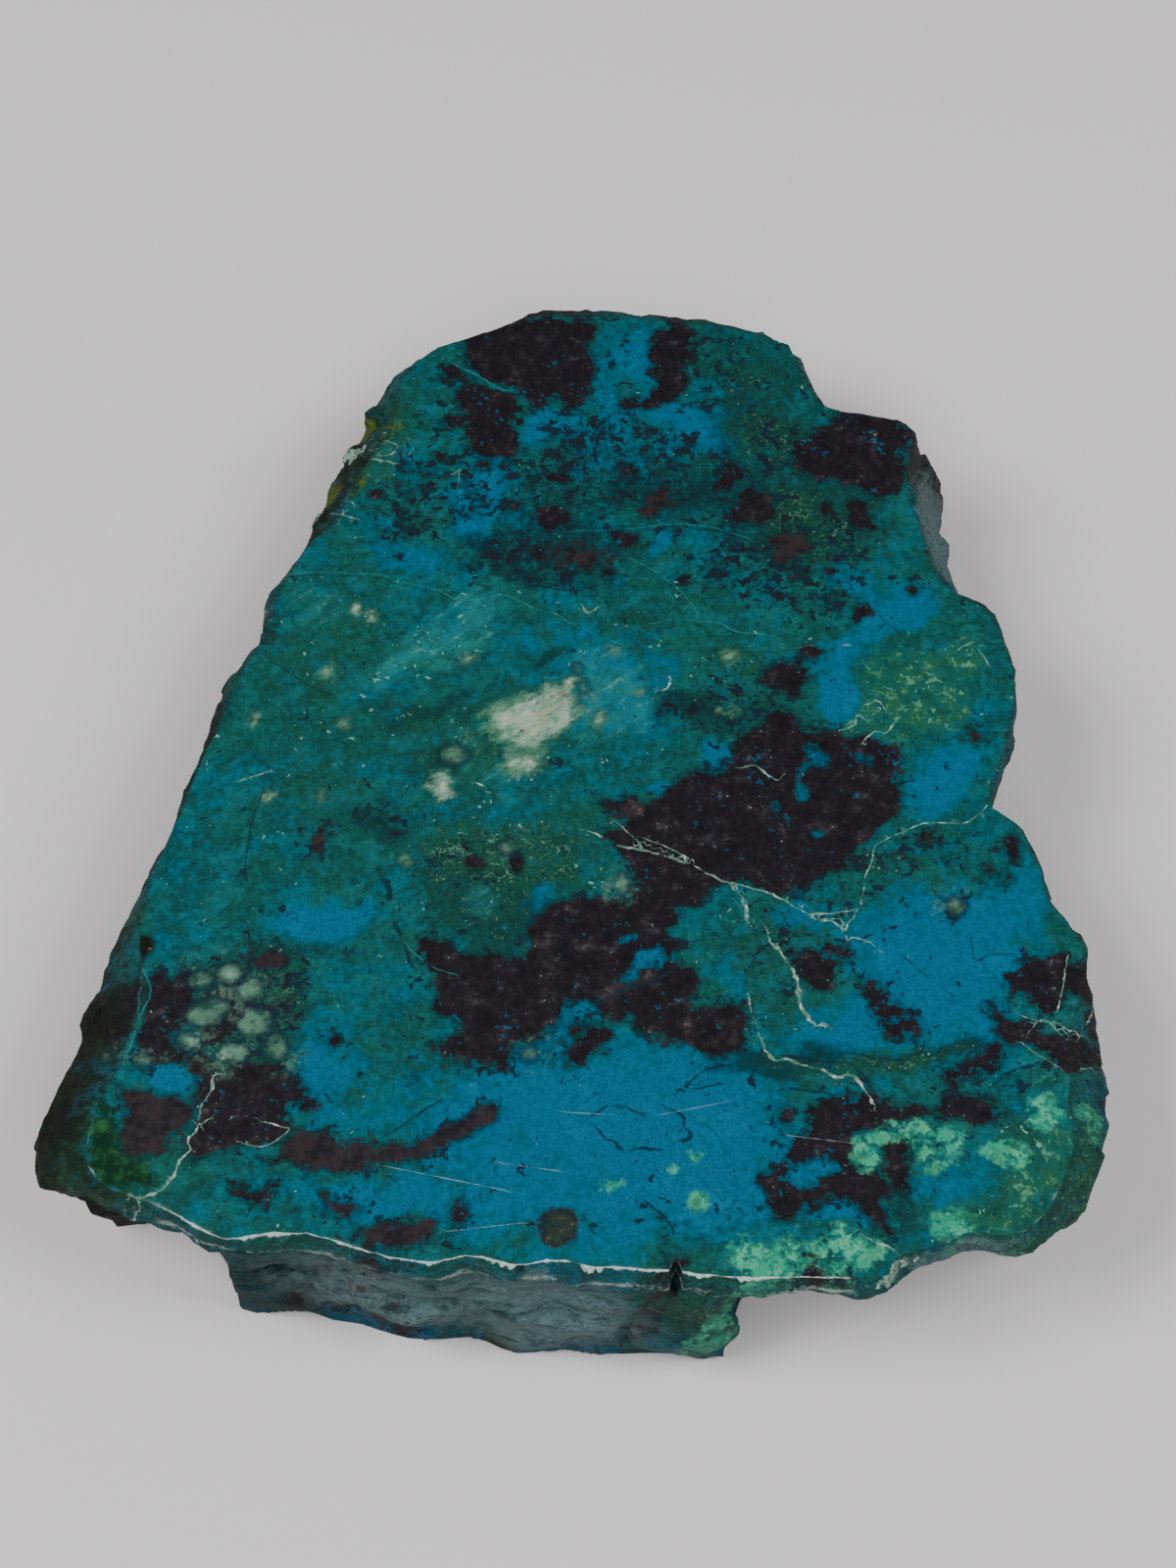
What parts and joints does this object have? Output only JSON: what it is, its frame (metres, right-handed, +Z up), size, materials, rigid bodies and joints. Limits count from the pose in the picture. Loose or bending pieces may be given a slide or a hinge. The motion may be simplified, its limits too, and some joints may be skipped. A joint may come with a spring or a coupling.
{
  "type": "rough turquoise slab",
  "caption": "Slab of rough blue-green copper stone with a flat polished face, broken walls and a flat base to rest on.",
  "frame": {"origin": "middle of the base's box, on the surface that the slab rests on", "axes": "+Z up out of the polished face, +Y along the slab's length towards its narrow end, +X across it"},
  "size_m": [0.0474, 0.0542, 0.008],
  "materials": {
    "turquoise_stone": "polished on the face, rough where broken"
  },
  "bodies": {
    "root": {"turquoise_slab": "turquoise_stone"}
  },
  "joints": []
}
